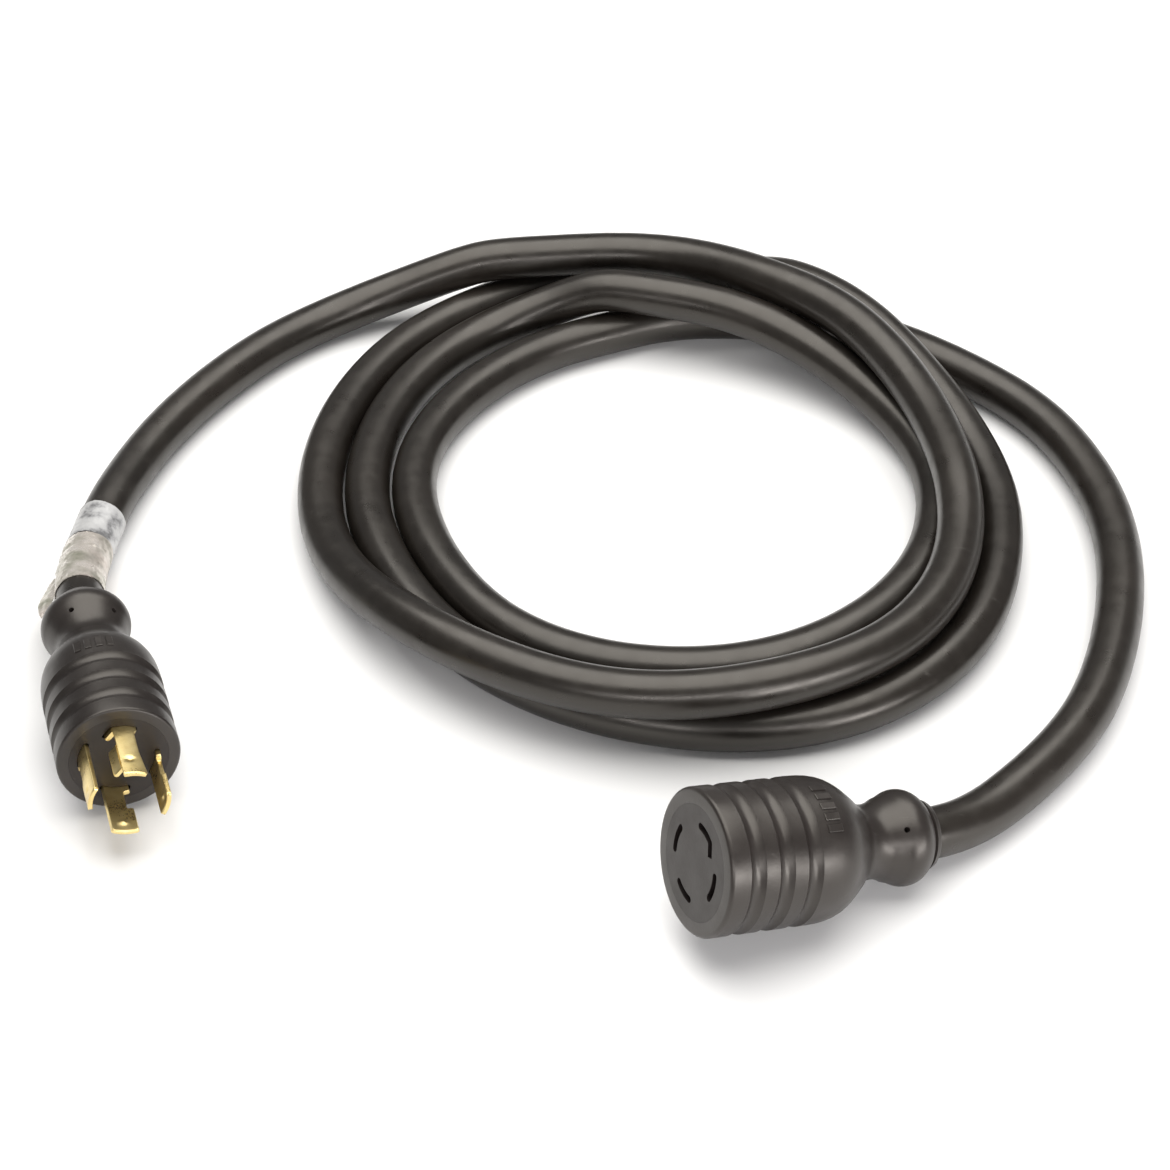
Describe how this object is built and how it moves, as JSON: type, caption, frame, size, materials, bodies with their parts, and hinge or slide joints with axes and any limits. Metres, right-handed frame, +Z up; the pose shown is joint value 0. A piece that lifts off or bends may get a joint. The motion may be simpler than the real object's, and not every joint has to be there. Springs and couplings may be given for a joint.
{
  "type": "locking shore power cord",
  "caption": "Coiled heavy round power cable with a ribbed four-blade twist-lock plug on one end and a matching ribbed twist-lock connector on the other, for feeding a parked caravan.",
  "frame": {"origin": "on the floor, under the middle of the whole cord's bounding box as it lies coiled", "axes": "+Z up from the floor; +X to the right across the coil as it is seen from the plug's side; +Y away from the two end bodies, towards the far side of the coil"},
  "size_m": [0.4248, 0.4236, 0.0592],
  "materials": {
    "cable_rubber": "semi-matte black rubber jacket, faint warm tint, soft broad highlights",
    "moulded_rubber": "moulded black vinyl rubber, satin, fine mould texture",
    "hard_plastic": "hard black moulding, matt",
    "brass": "stamped yellow brass, lightly brushed",
    "copper": "bare stranded copper",
    "wire_black": "black insulation",
    "wire_red": "red insulation",
    "wire_white": "white insulation",
    "wire_green": "green insulation",
    "label_paper": "white vinyl wrap label, creased",
    "label_foil": "crinkled foil label with a faint sheen of colour"
  },
  "bodies": {
    "coil": {"cable_jacket_coil": "cable_rubber", "conductor_black_coil": "wire_black", "conductor_red_coil": "wire_red", "conductor_white_coil": "wire_white", "conductor_green_coil": "wire_green"},
    "plug_tail_a": {"cable_jacket_plug_tail_a": "cable_rubber", "conductor_black_plug_tail_a": "wire_black", "conductor_red_plug_tail_a": "wire_red", "conductor_white_plug_tail_a": "wire_white", "conductor_green_plug_tail_a": "wire_green"},
    "plug_tail_b": {"cable_jacket_plug_tail_b": "cable_rubber", "conductor_black_plug_tail_b": "wire_black", "conductor_red_plug_tail_b": "wire_red", "conductor_white_plug_tail_b": "wire_white", "conductor_green_plug_tail_b": "wire_green", "label_foil": "label_foil", "label_white": "label_paper"},
    "plug": {"plug_overmould": "moulded_rubber", "plug_core": "hard_plastic", "blade_earth": "brass", "blade_line_x": "brass", "blade_neutral": "brass", "blade_line_y": "brass", "plug_lead_black": "wire_black", "plug_copper_black": "copper", "plug_lead_red": "wire_red", "plug_copper_red": "copper", "plug_lead_white": "wire_white", "plug_copper_white": "copper", "plug_lead_green": "wire_green", "plug_copper_green": "copper"},
    "conn_tail_a": {"cable_jacket_conn_tail_a": "cable_rubber", "conductor_black_conn_tail_a": "wire_black", "conductor_red_conn_tail_a": "wire_red", "conductor_white_conn_tail_a": "wire_white", "conductor_green_conn_tail_a": "wire_green"},
    "conn_tail_b": {"cable_jacket_conn_tail_b": "cable_rubber", "conductor_black_conn_tail_b": "wire_black", "conductor_red_conn_tail_b": "wire_red", "conductor_white_conn_tail_b": "wire_white", "conductor_green_conn_tail_b": "wire_green"},
    "connector": {"connector_overmould": "moulded_rubber", "connector_core": "hard_plastic", "contact_earth": "brass", "contact_line_x": "brass", "contact_neutral": "brass", "contact_line_y": "brass", "connector_lead_black": "wire_black", "connector_copper_black": "copper", "connector_lead_red": "wire_red", "connector_copper_red": "copper", "connector_lead_white": "wire_white", "connector_copper_white": "copper", "connector_lead_green": "wire_green", "connector_copper_green": "copper"}
  },
  "joints": [
    {"name": "plug_swing", "type": "hinge", "parent": "coil", "child": "plug_tail_a", "pos_m": [-0.16465, 0.10844, 0.009], "axis": [0, 0, 1], "range_deg": [-25, 20]},
    {"name": "plug_lift", "type": "hinge", "parent": "plug_tail_a", "child": "plug_tail_b", "pos_m": [-0.18649, 0.05709, 0.00917], "axis": [-0.9685, 0.2489, 0], "range_deg": [0, 30]},
    {"name": "plug_twist", "type": "hinge", "parent": "plug_tail_b", "child": "plug", "pos_m": [-0.16517, -0.12862, 0.02461], "axis": [0.2882, -0.9558, 0.0575], "range_deg": [-20, 20]},
    {"name": "connector_swing", "type": "hinge", "parent": "coil", "child": "conn_tail_a", "pos_m": [0.17788, -0.08832, 0.009], "axis": [0, 0, 1], "range_deg": [-10, 30]},
    {"name": "connector_lift", "type": "hinge", "parent": "conn_tail_a", "child": "conn_tail_b", "pos_m": [0.14331, -0.13207, 0.009], "axis": [-0.6749, 0.7379, 0], "range_deg": [0, 30]},
    {"name": "connector_twist", "type": "hinge", "parent": "conn_tail_b", "child": "connector", "pos_m": [0.03218, -0.18948, 0.03517], "axis": [-0.8952, -0.3807, 0.2318], "range_deg": [-20, 20]}
  ]
}
